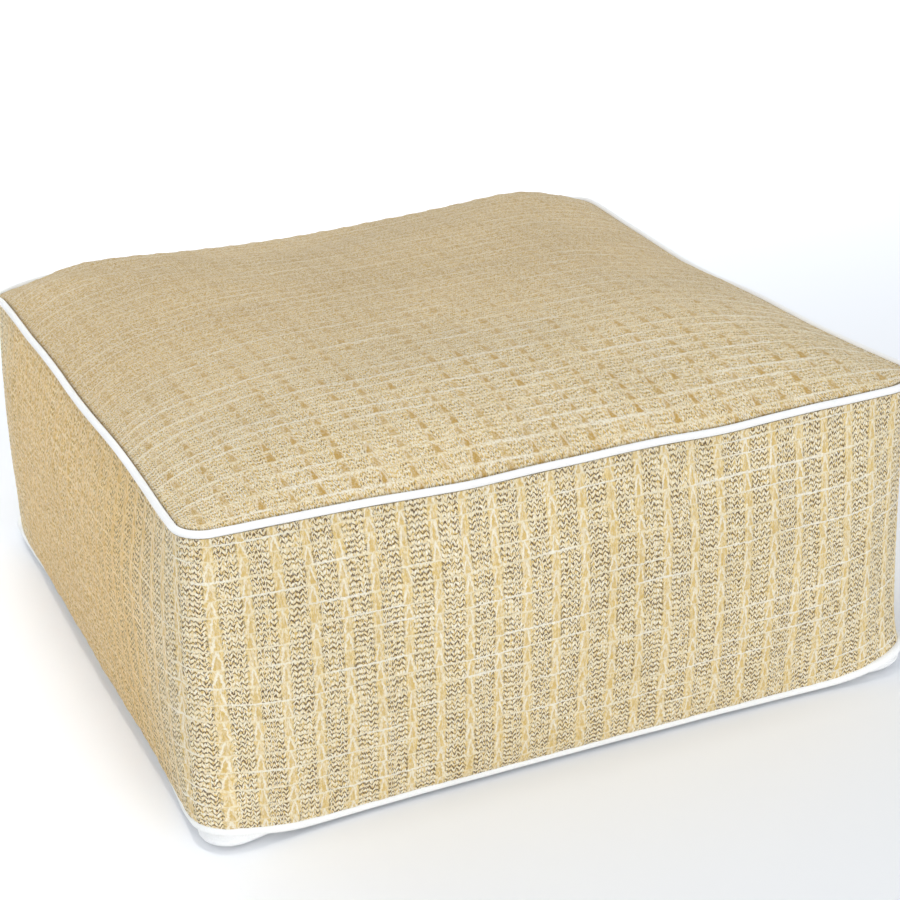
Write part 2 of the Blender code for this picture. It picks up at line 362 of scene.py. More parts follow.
def resample(field, rowsAt, columnsAt, wrap):
    # smooth resampling of a coarse grid of moves
    near, weights = cubicWeights(rowsAt, field.shape[0], False)
    field = (field[near] * weights[..., None, None]).sum(1)
    near, weights = cubicWeights(columnsAt, field.shape[1], wrap)
    return (field[:, near] * weights[None, ..., None]).sum(2)


def normalsOf(grid, wrap):
    # unit normals of a grid of points, rows first
    if wrap:
        across = np.roll(grid, -1, 1) - np.roll(grid, 1, 1)
    else:
        across = np.gradient(grid, axis=1)
    normal = np.cross(across, np.gradient(grid, axis=0))
    return normal / np.maximum(np.linalg.norm(normal, axis=-1, keepdims=True), 1e-12)


rippleWaves = {"count": 9, "shortest": 0.7, "longest": 1.6, "height": 0.25}


def ripple(u, v, seed, scale):
    # smooth seeded noise from a few waves, about -1 to 1
    rng = np.random.default_rng(seed)
    total = np.zeros(np.broadcast(u, v).shape)
    for _ in range(rippleWaves["count"]):
        angle, phase = rng.uniform(0, 2 * math.pi, 2)
        length = scale * rng.uniform(rippleWaves["shortest"], rippleWaves["longest"])
        along = u * math.cos(angle) + v * math.sin(angle)
        total += np.sin(2 * math.pi / length * along + phase)
    return total * rippleWaves["height"]


# Filled cushion by cloth simulation
cushion = {
    "cells": 60,  # along each side
    "wallRows": 26,
    "startInside": 0.004,  # the cushion is a little slack before it fills
    "seamReach": 0.012,  # how soon the cloth moves freely away from a held seam
    "heldBelow": 0.02,  # cloth that is less free than this is held
    "largestMove": 0.0022,
    "softening": 4,
    "pressure": 4.0,
    "looseness": -0.012,  # negative shrink: the cloth is cut a little large
    "stretchStiffness": 25,
    "bendStiffness": 2.0,
    "quality": 6,
    "frames": 20,
}


def soften(field, wrap):
    # takes out ripples as fine as the cells of the simulated cloth
    for _ in range(cushion["softening"]):
        for axis in (0, 1):
            if axis == 1 and wrap:
                before, after = np.roll(field, 1, 1), np.roll(field, -1, 1)
            else:
                pad = [(1, 1) if a == axis else (0, 0) for a in (0, 1)]
                wide = np.pad(field, pad, "edge")
                before, after = (wide[:-2], wide[2:]) if axis == 0 else (wide[:, :-2], wide[:, 2:])
            field = (before + 2 * field + after) / 4
    return field


def inflate(piece):
    # the pressure inside fills the cloth, frame by frame, while its seams are held
    activate(piece)
    bpy.ops.object.modifier_add(type="CLOTH")
    cloth = piece.modifiers[-1]
    cloth.settings.vertex_group_mass = "seams"
    cloth.settings.use_pressure = True
    cloth.settings.uniform_pressure_force = cushion["pressure"]
    cloth.settings.shrink_min = cushion["looseness"]
    cloth.settings.quality = cushion["quality"]
    cloth.settings.tension_stiffness = cushion["stretchStiffness"]
    cloth.settings.compression_stiffness = cushion["stretchStiffness"]
    cloth.settings.bending_stiffness = cushion["bendStiffness"]
    cloth.settings.effector_weights.gravity = 0
    cloth.collision_settings.use_self_collision = False
    cloth.point_cache.frame_start = 1
    cloth.point_cache.frame_end = cushion["frames"]
    for step in range(1, cushion["frames"] + 1):
        bpy.context.scene.frame_set(step)
    bpy.ops.object.modifier_apply(modifier=cloth.name)
    bpy.context.scene.frame_set(1)


def fillCushion():
    n, rows = cushion["cells"], cushion["wallRows"]
    line = np.linspace(-1, 1, n + 1)
    q, p = np.meshgrid(line, line, indexing="ij")
    top = crownPoint(p, q, 0.0)
    t = np.arange(4 * n) / n
    station = outline(t)
    shares = np.linspace(0, 1, rows + 1)
    wall = np.stack([wallPoint(station, np.full(t.shape, share)) for share in shares])
    # number the points so that the top and the wall share the seam
    topIds = np.arange((n + 1) ** 2).reshape(n + 1, n + 1)
    ring = rimOf(topIds)
    wallIds = np.arange(rows * 4 * n).reshape(rows, 4 * n) + topIds.size
    wallIds = np.concatenate([wallIds, ring[None]])
    base = topIds.size + rows * 4 * n
    after = np.roll(wallIds, -1, 1)
    wallFaces = np.stack([wallIds[:-1], after[:-1], after[1:], wallIds[1:]], -1).reshape(-1, 4)
    faces = gridFaces(n + 1, n + 1).tolist() + wallFaces.tolist()
    # a plain floor side closes the cushion, held still
    middle = [[0, 0, pouf["baseSeam"]]]
    points = np.concatenate([top.reshape(-1, 3), wall[:-1].reshape(-1, 3), middle])
    faces += [(int(wallIds[0, (i + 1) % (4 * n)]), int(wallIds[0, i]), base) for i in range(4 * n)]
    topFree = 1 - np.exp(-distanceToEdge(p, q) / cushion["seamReach"])
    toSeam = np.minimum(shares, 1 - shares) * pouf["seamRise"]
    wallFree = 1 - np.exp(-toSeam / cushion["seamReach"])
    free = np.concatenate([topFree.ravel(), np.repeat(wallFree[:-1], 4 * n), [0]])
    piece = addMesh("cushion_fill", points, faces, shift=False)
    normal = np.empty(len(points) * 3)
    piece.data.vertices.foreach_get("normal", normal)
    normal = normal.reshape(-1, 3)
    start = points - normal * (free * cushion["startInside"])[:, None]
    piece.data.vertices.foreach_set("co", start.ravel())
    piece.data.update()
    held = piece.vertex_groups.new(name="seams")
    held.add([int(i) for i in np.flatnonzero(free < cushion["heldBelow"])], 1.0, "REPLACE")
    inflate(piece)
    end = np.empty(len(points) * 3)
    piece.data.vertices.foreach_get("co", end)
    bpy.data.objects.remove(piece, do_unlink=True)
    # the plain shape already has the fullness, so only the unevenness of the fill is kept
    outward = ((end.reshape(-1, 3) - points) * normal).sum(-1)
    for part in (slice(0, topIds.size), slice(topIds.size, base)):
        outward[part] -= free[part] * np.average(outward[part], weights=free[part])
    limit = cushion["largestMove"]
    print("cushion filled: uneven by", round(float(outward.std()) * 1000, 1), "mm, at most",
          round(float(np.abs(outward).max()) * 1000, 1), "mm before the limit")
    outward = limit * np.tanh(outward / limit)
    topField = soften(outward[: topIds.size].reshape(n + 1, n + 1), False)
    wallField = soften(outward[topIds.size : base].reshape(rows, 4 * n), True)
    smooth = np.concatenate([topField.ravel(), wallField.ravel(), [0]])
    move = normal * (smooth * free)[:, None]
    topMove = move[: topIds.size].reshape(n + 1, n + 1, 3)
    wallMove = move[topIds.size : base].reshape(rows, 4 * n, 3)
    return topMove, np.concatenate([wallMove, topMove.reshape(-1, 3)[ring][None]])


topMove, wallMove = fillCushion()


# Materials
class Wire:
    # a socket that adds Math nodes when it is used in an expression
    def __init__(self, paint, socket):
        self.paint, self.socket = paint, socket

    def maths(self, operation, *others):
        return self.paint.node("ShaderNodeMath", {"operation": operation}, dict(enumerate((self, *others))))

    def __add__(self, other):
        return self.maths("ADD", other)

    def __sub__(self, other):
        return self.maths("SUBTRACT", other)

    def __rsub__(self, other):
        return self.paint.node("ShaderNodeMath", {"operation": "SUBTRACT"}, {0: other, 1: self})

    def __mul__(self, other):
        return self.maths("MULTIPLY", other)

    def __truediv__(self, other):
        return self.maths("DIVIDE", other)

    def __abs__(self):
        return self.maths("ABSOLUTE")

    def floor(self):
        return self.maths("FLOOR")

    def fract(self):
        return self.maths("FRACT")

    def least(self, other):
        return self.maths("MINIMUM", other)

    def most(self, other):
        return self.maths("MAXIMUM", other)


class Paint:
    def __init__(self, name):
        self.material = bpy.data.materials.new(name)
        self.material.use_nodes = True
        self.tree = self.material.node_tree
        self.shader = self.tree.nodes["Principled BSDF"]

    def node(self, kind, settings=None, inputs=None, output=0):
        made = self.tree.nodes.new(kind)
        for key, value in (settings or {}).items():
            setattr(made, key, value)
        for key, value in (inputs or {}).items():
            self.join(value, made.inputs[key])
        if isinstance(output, tuple):
            return [Wire(self, made.outputs[one]) for one in output]
        return Wire(self, made.outputs[output])

    def join(self, value, socket):
        if isinstance(value, Wire):
            self.tree.links.new(value.socket, socket)
        else:
            socket.default_value = value

    def set(self, **inputs):
        for key, value in inputs.items():
            self.join(value, self.shader.inputs[key.replace("_", " ")])

    def spot(self, x, y, z):
        return self.node("ShaderNodeCombineXYZ", None, {0: x, 1: y, 2: z})

    def noise(self, where, scale=1.0, detail=2.0, rough=0.5):
        inputs = {"Vector": where, "Scale": scale, "Detail": detail, "Roughness": rough}
        return self.node("ShaderNodeTexNoise", None, inputs)

    def drift(self, x, y, z, detail, rough=0.5):
        # noise about zero
        return self.noise(self.spot(x, y, z), detail=detail, rough=rough) - 0.5

    def chance(self, x, y, z):
        # one random value from 0 to 1 for each spot
        settings = {"noise_dimensions": "3D"}
        return self.node("ShaderNodeTexWhiteNoise", settings, {"Vector": self.spot(x, y, z)})

    def step(self, value, low, high, bottom=0.0, top=1.0):
        settings = {"interpolation_type": "SMOOTHSTEP"}
        inputs = {"Value": value, "From Min": low, "From Max": high, "To Min": bottom, "To Max": top}
        return self.node("ShaderNodeMapRange", settings, inputs)

    def mix(self, share, first, second, blend="MIX"):
        settings = {"data_type": "RGBA", "blend_type": blend, "clamp_factor": True}
        return self.node("ShaderNodeMix", settings, {0: share, 6: first, 7: second}, 2)

    def bump(self, height, distance, strength):
        inputs = {"Height": height, "Distance": distance, "Strength": strength}
        return self.node("ShaderNodeBump", None, inputs)


def shade(red, green, blue):
    # a screen colour from 0 to 255 as the light it stands for
    def linear(c):
        c /= 255
        return c / 12.92 if c <= 0.04045 else ((c + 0.055) / 1.055) ** 2.4

    return (linear(red), linear(green), linear(blue), 1.0)


weave = {
    "bandPitch": 0.0230,
    "bandHalf": 0.0039,
    "bandSoft": 0.0006,  # how gently the raised bands end in the mesh
    "threadPitch": 0.0142,
    "threadHalf": 0.0008,
    "threadDrift": 0.7,  # of the pitch
    "rowPitch": 0.0043,
    "zigzag": 0.0047,
    "slant": 0.85,
    "swayAcross": 0.0055,
    "swayUp": 0.0085,
    "yarnsPerMetre": 330,
    "hairsPerMetre": 1000,
    "depth": 0.0009,  # of the bump
    "cream": shade(255, 251, 238),
    "straw": shade(246, 230, 187),
    "gold": shade(226, 195, 117),
    "deep": shade(198, 161, 84),
    "hole": shade(112, 94, 74),
}


def strawCloth(name, look):
    p = Paint(name)
    seed = look["seed"]
    place = p.node("ShaderNodeUVMap", {"uv_map": "Cloth"})
    u0, v0 = p.node("ShaderNodeSeparateXYZ", None, {0: place}, (0, 1))
    # 0 to 1 towards the part of the cloth where the bands blur into a mottle
    run = u0 if look["farAlong"] == "u" else v0
    begin = p.step(run, *look["farStart"])
    far = begin * p.step(run, *look["farStop"])
    plain = begin * p.step(run, *look["plainStop"]) * look["farBand"]
    # painted shade: 0 to 1 where the cloth is darkened towards the shaded left side of the boxing and the
    # back of the top
    paintedShadeMask = begin * p.step(run, *look["paintedShadeStop"])
    # the cloth isn't woven dead straight, and each yarn wanders a little
    sway = p.drift(u0 * 14, v0 * 9, seed, 1.0)
    wave = p.drift(u0 * 9, v0 * 16, seed + 5, 1.0)
    yarnU, yarnV = u0 * weave["yarnsPerMetre"], v0 * weave["yarnsPerMetre"]
    jitterU = p.drift(yarnU, yarnV, seed + 6, 1.0)
    jitterV = p.drift(yarnU, yarnV, seed + 7, 1.0)
    u = u0 + sway * weave["swayAcross"] + jitterU * look["jitter"]
    v = v0 + wave * weave["swayUp"] + jitterV * look["jitter"]
    fine = p.drift(u0 * weave["hairsPerMetre"], v0 * weave["hairsPerMetre"], seed, 2.0)
    # cross threads, unevenly spaced, some of them pale and strong
    lane = v / weave["threadPitch"] + p.drift(v0 * 42, 3.1, seed, 0.0) * weave["threadDrift"]
    laneIndex = lane.floor()
    rise = lane.fract()
    near = rise.least(1 - rise) * weave["threadPitch"]
    boldness = p.noise(p.spot(u0 * 13, (lane + 0.5).floor() * 3.7, seed), detail=1.0)
    bold = p.step(boldness, look["threadFrom"], look["threadTo"], look["threadLeast"], 1.0)
    edge = weave["threadHalf"] * look["threadWide"]
    thread = p.step(near + fine * 0.0007, edge * 1.4, edge * 0.5)
    # the zigzag of stitches between the bands
    column = u / weave["zigzag"]
    zig = abs(column.fract() * 2 - 1)
    stroke = (column * 2 - 0.5).floor()
    offset = p.chance(stroke, 0.5, seed) * look["uneven"]
    phase = v / weave["rowPitch"] + zig * weave["slant"] + offset
    ridge = abs(phase.fract() * 2 - 1)
    stitch = p.chance(stroke, phase.floor(), seed)
    second = p.chance(stroke, phase.floor(), seed + 3)
    fromMiddle = abs((column * 2).fract() - 0.5)
    gap = p.step(abs(fromMiddle - 0.5) + fine * 0.2, 0.04, 0.28)
    crest = p.step(ridge + fine * 0.35 + (second - 0.5) * 0.3, 0.66, 0.36) * gap * (stitch * 0.5 + 0.5)
    hollow = p.step(ridge + fine * 0.45, look["hollow"], look["hollow"] + 0.12)
    hole = hollow * p.step(second + jitterU * 0.4, look["holeFrom"], look["holeFrom"] + 0.3)
    hole = hole * (1 - p.step(fromMiddle, 0.10, 0.26) * look["speck"])
    # bands of upright yarn: in each cell the strands fan out downwards from the cross thread
    bandRun = u / weave["bandPitch"]
    signed = (bandRun.fract() - 0.5) * (weave["bandPitch"] / weave["bandHalf"])
    cell = p.chance(bandRun.floor(), laneIndex, seed + 2)
    lean = p.chance(bandRun.floor(), laneIndex, seed + 4) - 0.5
    fan = (signed - lean * (1 - rise) * 0.5) / (1.30 - rise * 0.85)
    strand = p.drift(fan * 3.0 + cell * 31, rise * 1.3 + laneIndex * 3.3, seed, 3.0, 0.6)
    streak = p.drift(u0 * 1100, v0 * 170, seed + 9, 2.0)
    inBand = p.step(abs(signed) + streak * 0.9 + fine * 0.4, 1.15, 0.85) * (1 - plain)
    band = inBand * look["band"]
    sliver = p.step(strand + streak * 0.35, 0.0, 0.07) * p.step(abs(fan), 1.1, 0.9)
    legChance = p.chance((bandRun * 2).floor(), laneIndex, seed + 12)
    leg = abs(abs(signed - lean * (1 - rise) * 0.6) - (1 - rise) * 0.85) + streak * 0.6
    leg = p.step(leg, 0.24, 0.08) * p.step(legChance, 0.10, 0.60)
    wedge = p.step(abs(fan) + strand * 1.3, look["wide"], look["wide"] - 0.30)
    wedge = wedge * p.step(rise, 0.95, 0.55) * (cell * 0.6 + 0.4)
    # colours
    patch = p.noise(p.spot(u0 * 230, v0 * 290, seed + 1), detail=3.0, rough=0.65)
    base = p.mix(p.step(patch, 0.42, 0.58) * look["straw"], weave["gold"], weave["straw"])
    holesShow = 1 - far * look["farHoles"]
    panel = p.mix(crest, base, weave["cream"])
    panel = p.mix(hole * holesShow, panel, weave["hole"])
    ribbon = p.mix(p.step(streak, -0.12, 0.12) * 0.7, weave["gold"], weave["straw"])
    ribbon = p.mix(sliver * 0.5, ribbon, weave["cream"])
    colour = p.mix(band, panel, ribbon)
    underThread = p.mix(look["dark"], weave["gold"], weave["deep"])
    colour = p.mix(wedge * inBand * look["wedge"], colour, underThread)
    colour = p.mix(leg * inBand * look["leg"], colour, weave["cream"])
    nick = p.step(abs(abs(signed) - 1.0) + fine * 0.4, 0.24, 0.04) * p.step(second + fine, 0.50, 0.80)
    colour = p.mix(nick * band.most(0.3) * holesShow, colour, weave["hole"])
    strong = p.step(boldness, look["threadTo"] - 0.06, look["threadTo"] + 0.06)
    strong = p.mix(strong, p.mix(0.35, weave["straw"], weave["cream"]), weave["cream"])
    thread = thread * bold.most(band * 0.75) * (1 - plain * look["farThread"])
    colour = p.mix(thread * 0.9, colour, strong)
    # mottle of loose fibres, finer where the weave shows and longer where it blurs
    fleckU, fleckV = u0 * look["fleckU"], v0 * look["fleckV"]
    fleck = p.drift(fleckU, fleckV, seed + 8, 2.0, 0.7)
    flick = p.drift(fleckU + v0 * 130, fleckV - u0 * 90, seed + 10, 2.0, 0.7)
    fibreU, fibreV = u0 * look["fibreU"], v0 * look["fibreV"]
    fibre = p.drift(fibreU, fibreV * 0.45, seed + 13, 2.0)
    cross = p.drift(fibreU * 0.7 + fibreV, fibreV * 0.7 - fibreU * 0.5, seed + 14, 1.0)
    counter = p.drift(fibreU * 0.7 - fibreV, fibreV * 0.7 + fibreU * 0.5, seed + 15, 1.0)
    course = p.drift(u0 * 9, v0 * 210, seed + 16, 1.0)
    grain, farGrain = (1 - far * 0.6) * look["grain"], far * look["farGrain"]
    dark = p.step(flick, 0.02, 0.10) * grain + p.step(cross + course * 0.5, 0.02, 0.08) * farGrain
    longPale = p.step(fibre, 0.03, 0.08).most(p.step(counter, 0.06, 0.11))
    pale = p.step(fleck, 0.03, 0.10) * grain + longPale * farGrain
    pale = pale * (1 - wedge * inBand * 0.75)
    colour = p.mix(dark, colour, weave["deep"])
    broad = p.noise(p.spot(u0 * 7, v0 * 9, seed + 4), detail=2.0)
    tint = p.mix(p.step(broad, 0.3, 0.7), look["shadeLow"], look["shadeHigh"])
    colour = p.mix(1.0, colour, tint, "MULTIPLY")
    # painted shade: where the mask above is 1, the colour is multiplied by farShade and the pale fibres take
    # farPale
    colour = p.mix(paintedShadeMask, colour, p.mix(1.0, colour, look["farShade"], "MULTIPLY"))
    colour = p.mix(pale, colour, p.mix(paintedShadeMask, weave["cream"], look["farPale"]))
    # relief
    weft = crest * 0.6 - hollow * 0.5
    yarns = sliver * 0.3 + leg * 0.4 + 0.3
    height = band * yarns + (1 - band) * weft + thread * 0.6 + fine * 0.4 + pale * 0.4
    p.set(
        Base_Color=colour,
        Roughness=p.step(height, -0.5, 1.0, 0.92, 0.66),
        Normal=p.bump(height, weave["depth"], 0.7),
        Sheen_Weight=0.08,
        Sheen_Roughness=0.5,
        Specular_IOR_Level=0.2,
    )
    return p.material


boxingLook = {
    "seed": 3.0,
    "jitter": 0.0026,
    "uneven": 0.50,  # how far neighbouring strokes of the zigzag are out of step
    "threadFrom": 0.38,  # between these noise values a cross thread grows to its full strength
    "threadTo": 0.56,
    "threadLeast": 0.58,
    "threadWide": 1.0,
    "hollow": 0.59,
    "holeFrom": 0.06,
    "speck": 0.0,  # 1 keeps the holes only midway between the turns of the zigzag
    "band": 0.85,
    "wedge": 0.6,
    "wide": 0.50,
    "dark": 0.5,
    "leg": 0.75,
    "straw": 0.9,
    "grain": 0.25,
    "fleckU": 760,
    "fleckV": 360,
    "fibreU": 300,
    "fibreV": 370,
    "shadeLow": (0.945, 0.92, 0.865, 1),
    "shadeHigh": (0.995, 0.975, 0.935, 1),
    "farAlong": "u",  # the left side, seen at a low angle; places in metres along the cloth
    "farStart": (1.78, 1.90),
    "farStop": (2.29, 2.10),
    "plainStop": (2.29, 2.15),
    # painted shade: from here the left side and its near corner are made darker and more golden, as where
    # less light falls on them
    "paintedShadeStop": (2.38, 2.22),
    "farShade": (0.95, 0.81, 0.56, 1),
    "farPale": (0.93, 0.79, 0.55, 1),
    "farThread": 0.2,
    "farBand": 0.30,
    "farHoles": 0.38,
    "farGrain": 0.48,
}

topLook = {
    "seed": 8.0,
    "jitter": 0.0022,
    "uneven": 0.80,
    "threadFrom": 0.36,
    "threadTo": 0.54,
    "threadLeast": 0.55,
    "threadWide": 1.6,
    "hollow": 0.46,
    "holeFrom": 0.10,
    "speck": 0.9,
    "band": 0.30,
    "wedge": 1.0,
    "wide": 0.85,
    "dark": 1.0,
    "leg": 0.60,
    "straw": 0.95,
    "grain": 0.62,
    "fleckU": 700,
    "fleckV": 430,
    "fibreU": 640,
    "fibreV": 420,
    # painted shade: these tints are darker than the boxing's because the top gets more light than the sides
    "shadeLow": (0.885, 0.84, 0.755, 1),
    "shadeHigh": (0.97, 0.925, 0.84, 1),
    "farAlong": "v",  # towards the back of the top, without an end
    "farStart": (-0.33, 0.05),
    "farStop": (2.0, 1.0),
    "plainStop": (2.0, 1.0),
    # painted shade: the top grows darker and more golden towards its back
    "paintedShadeStop": (2.0, 1.0),
    "farShade": (0.89, 0.82, 0.70, 1),
    "farPale": (0.82, 0.73, 0.58, 1),
    "farThread": 0.0,
    "farBand": 0.62,
    "farHoles": 0.55,
    "farGrain": 0.45,
}


def whiteCloth(name, tint, look):
    p = Paint(name)
    place = p.node("ShaderNodeTexCoord", None, None, 3)
    large = p.noise(place, 18.0, 2.0)
    grain = p.noise(place, look["threads"], 2.0, 0.6)
    darker = tuple(c * 0.965 for c in tint[:3]) + (1,)
    colour = p.mix(p.step(large, 0.3, 0.7), darker, tint)
    colour = p.mix(p.step(grain, 0.62, 0.35) * 0.12, colour, shade(196, 194, 188))
    p.set(
        Base_Color=colour,
        Roughness=p.step(grain, 0.3, 0.7, look["rough"] + 0.08, look["rough"] - 0.05),
        Normal=p.bump(grain + large * 0.6, look["depth"], 0.6),
        Sheen_Weight=0.05,
        Specular_IOR_Level=0.3,
    )
    return p.material


print("materials ready")

# Bake layout: gaps and widths in metres of cloth, then the corner of the picture for hidden faces
bakeLayout = {
    "start": 0.002,
    "gap": 0.004,
    "margin": 0.03,
    "sheetAcross": 0.66,
    "cornerSize": 0.018,
    "cornerPlace": 0.985,
}


def bakeCorner(flat, across):
    return flat / across * bakeLayout["cornerSize"] + bakeLayout["cornerPlace"]


boxing = {
    "columns": 880,
    "rows": 91,
    "seamGap": 0.004,  # the wall's first and last rows keep this far from the seams
    "usualFullness": 0.0125,
    "bandRelief": 0.0005,
    "fuzz": 0.00022,
    "pucker": 0.0007,
    "puckerReach": 0.035,
    "puckerLength": 0.050,
    "puckerUp": 0.25,  # the pucker is four times as long up the wall as along it
    "fuzzSeed": 5,
    "puckerSeed": 9,
    "lowTurns": (150, 120, 95, 70, 48),  # degrees round the piping, level and outward at 0
    "highTurns": (-52, -75, -100, -125, -150),
    "crownInsets": (0.0, 0.005, 0.012, 0.024, 0.045, 0.090, 0.160),  # from the rim of the top panel
    "under": 0.0024,  # how far the cushion lies inside the panels
    "baseSink": 0.0006,
    "crownSink": 0.0030,
    "crownSinkReach": 0.01,
    "measuredColumn": 40,  # the height of the cloth is measured here
    "bakeRows": 3,
}

reliefShape = {"meanBand": 0.4, "fuzzLength": 0.006, "seamFade": 0.006}


def weaveRelief(cloth, u, v, edge):
    # raised bands, a slight fuzz, and the pucker beside the seams; it fades out at the seams
    away = np.abs((u / weave["bandPitch"]) % 1 - 0.5) * weave["bandPitch"]
    band = 1 / (1 + np.exp((away - weave["bandHalf"]) / weave["bandSoft"]))
    lift = cloth["bandRelief"] * (band - reliefShape["meanBand"])
    lift = lift + cloth["fuzz"] * ripple(u, v, cloth["fuzzSeed"], reliefShape["fuzzLength"])
    pucker = ripple(u, v * cloth["puckerUp"], cloth["puckerSeed"], cloth["puckerLength"])
    lift = lift + cloth["pucker"] * pucker * np.exp(-edge / cloth["puckerReach"])
    return lift * (1 - np.exp(-edge / reliefShape["seamFade"]))


def wallShares(count):
    # rows evenly spaced over the cloth of the wall, not over its height
    share = np.linspace(0, 1, 2001)
    out = wallFullness(share) * boxing["usualFullness"]
    run = np.concatenate([[0], np.cumsum(np.hypot(np.diff(share) * pouf["seamRise"], np.diff(out)))])
    gap = boxing["seamGap"]
    return np.interp(np.linspace(gap, run[-1] - gap, count), run, share)


def aroundPiping(station, share, turns):
    seam = seamPoint(station, np.full(station["place"].shape, share))
    rings = []
    for turn in np.radians(turns):
        plan = seam[:, :2] + station["normal"] * (pouf["groove"] * math.cos(turn))
        z = seam[:, 2] + pouf["groove"] * math.sin(turn)
        rings.append(np.concatenate([plan, z[:, None]], -1))
    return np.stack(rings)


def overBottom(station):
    # the cushion over the bottom panel, from the flat base out to the rim
    shape = station["place"].shape
    rings = np.stack([basePoint(station, np.full(shape, step)) for step in (4.0, 3.0, 2.0, 1.0, 0.0)])
    return rings - normalsOf(rings, True) * (boxing["under"] + boxing["baseSink"])


def underCrown(station):
    # the cushion under the top panel, from the seam inwards
    seam = seamPoint(station, np.ones(station["place"].shape))
    rings = []
    for inset in boxing["crownInsets"]:
        plan = seam[:, :2] * (1 - (pouf["rimInset"] + inset) / halfW)
        keep = math.exp(-inset / pouf["seamWaveReach"])
        z = seam[:, 2] * keep + topSeam * (1 - keep) + crownRise(plan[:, 0], plan[:, 1])
        rings.append(np.concatenate([plan, z[:, None]], -1))
    rings = np.stack(rings)
    deeper = 1 - np.exp(-np.array(boxing["crownInsets"]) / boxing["crownSinkReach"])
    sunk = boxing["under"] + boxing["crownSink"] * deeper
    return rings - normalsOf(rings, True) * sunk[:, None, None]


def bodyLayout(rings, faces, runU, lowRow, highRow):
    # cloth coordinates in metres, and a bake layout of three strips one above another
    count, columns = rings.shape[:2]
    strips = boxing["bakeRows"]
    run = runAlong(rings[:, boxing["measuredColumn"]])
    run -= run[lowRow]
    rowIndex, columnIndex = np.divmod(np.arange((count - 1) * columns), columns)
    cornersU = np.stack([runU[columnIndex], runU[columnIndex + 1]], -1)[:, (0, 1, 1, 0)]
    cornersV = np.stack([run[rowIndex], run[rowIndex + 1]], -1)[:, (0, 0, 1, 1)]
    cloth = np.stack([cornersU, cornersV], -1)
    stripHigh = run[highRow] - run[lowRow] + bakeLayout["gap"]
    stripColumns = math.ceil(columns / strips)
    side = max(runU[-1] / strips, stripHigh * strips) + bakeLayout["margin"]
    strip = np.minimum(columnIndex // stripColumns, strips - 1)
    firstU = runU[strip * stripColumns]
    bakeU = (cornersU - firstU[:, None] + bakeLayout["start"]) / side
    bakeV = (cornersV + bakeLayout["start"] + (strip * stripHigh)[:, None]) / side
    bake = np.stack([bakeU, bakeV], -1)
    hidden = (rowIndex < lowRow) | (rowIndex >= highRow)
    plan = rings[..., :2].reshape(-1, 2)
    bake[hidden] = bakeCorner(plan[np.array(faces[:-2])[hidden]], pouf["width"])
    caps = [plan[list(face)] for face in faces[-2:]]
    cloth = np.concatenate([cloth.reshape(-1, 2), *caps])
    bake = np.concatenate([bake.reshape(-1, 2)] + [bakeCorner(cap, pouf["width"]) for cap in caps])
    return {"Cloth": cloth, "OFBake": bake}


def makeBody():
    columns = boxing["columns"]
    t = np.arange(columns) * 4 / columns
    station = outline(t)
    runU = runAlong(np.concatenate([station["point"], station["point"][:1]]))
    shares = wallShares(boxing["rows"])
    wall = np.stack([wallPoint(station, np.full(t.shape, share)) for share in shares])
    wall += resample(wallMove, shares * cushion["wallRows"], t * cushion["cells"], True)
    up = shares[:, None] * pouf["seamRise"]
    edge = np.minimum(shares, 1 - shares)[:, None] * pouf["seamRise"]
    lift = weaveRelief(boxing, runU[:-1][None, :], up, edge)
    wall += normalsOf(wall, True) * lift[..., None]
    low = aroundPiping(station, 0, boxing["lowTurns"])
    high = aroundPiping(station, 1, boxing["highTurns"])
    base, crown = overBottom(station), underCrown(station)
    rings = np.concatenate([base, low, wall, high, crown])
    count = len(rings)
    faces = gridFaces(count, columns, True).tolist()
    faces.append(tuple(range(columns - 1, -1, -1)))
    faces.append(tuple(range((count - 1) * columns, count * columns)))
    layout = bodyLayout(rings, faces, runU, len(base), count - len(crown) - 1)
    piece = addMesh("straw_boxing_cushion", rings, faces, layout)
    finishPiece(piece, strawCloth("straw boxing", boxingLook), "straw_boxing", "boxed_body")
    print("boxed body:", len(piece.data.polygons), "faces")


makeBody()

topSheet = {
    "cells": 200,
    "thick": 0.0018,
    "bandRelief": 0.0005,
    "fuzz": 0.00022,
    "pucker": 0.0006,
    "puckerReach": 0.030,
    "puckerLength": 0.055,
    "puckerUp": 1.0,
    "fuzzSeed": 15,
    "puckerSeed": 19,
    "edgeStretch": 0.0077,  # extra cloth in the steep edge of the crown
    "edgeReach": 0.05,
}


def topCloth(x, y):
    # where a point of the crown lies in the flat cloth, whose threads follow the bowed edges
    across, along = 1 - (x / halfW) ** 2, 1 - (y / halfD) ** 2
    bow = pouf["topBow"]
    left, right = -halfW - bow[3] * along, halfW + bow[1] * along
    front, back = -halfD - bow[0] * across, halfD + bow[2] * across
    flat = []
    for share, half in (((x - left) / (right - left), halfW), ((y - front) / (back - front), halfD)):
        run = (share * 2 - 1) * half
        pull = np.exp(-2 * (half - run) / topSheet["edgeReach"])
        pull = pull - np.exp(-2 * (half + run) / topSheet["edgeReach"])
        flat.append(run + topSheet["edgeStretch"] * pull)
    return flat


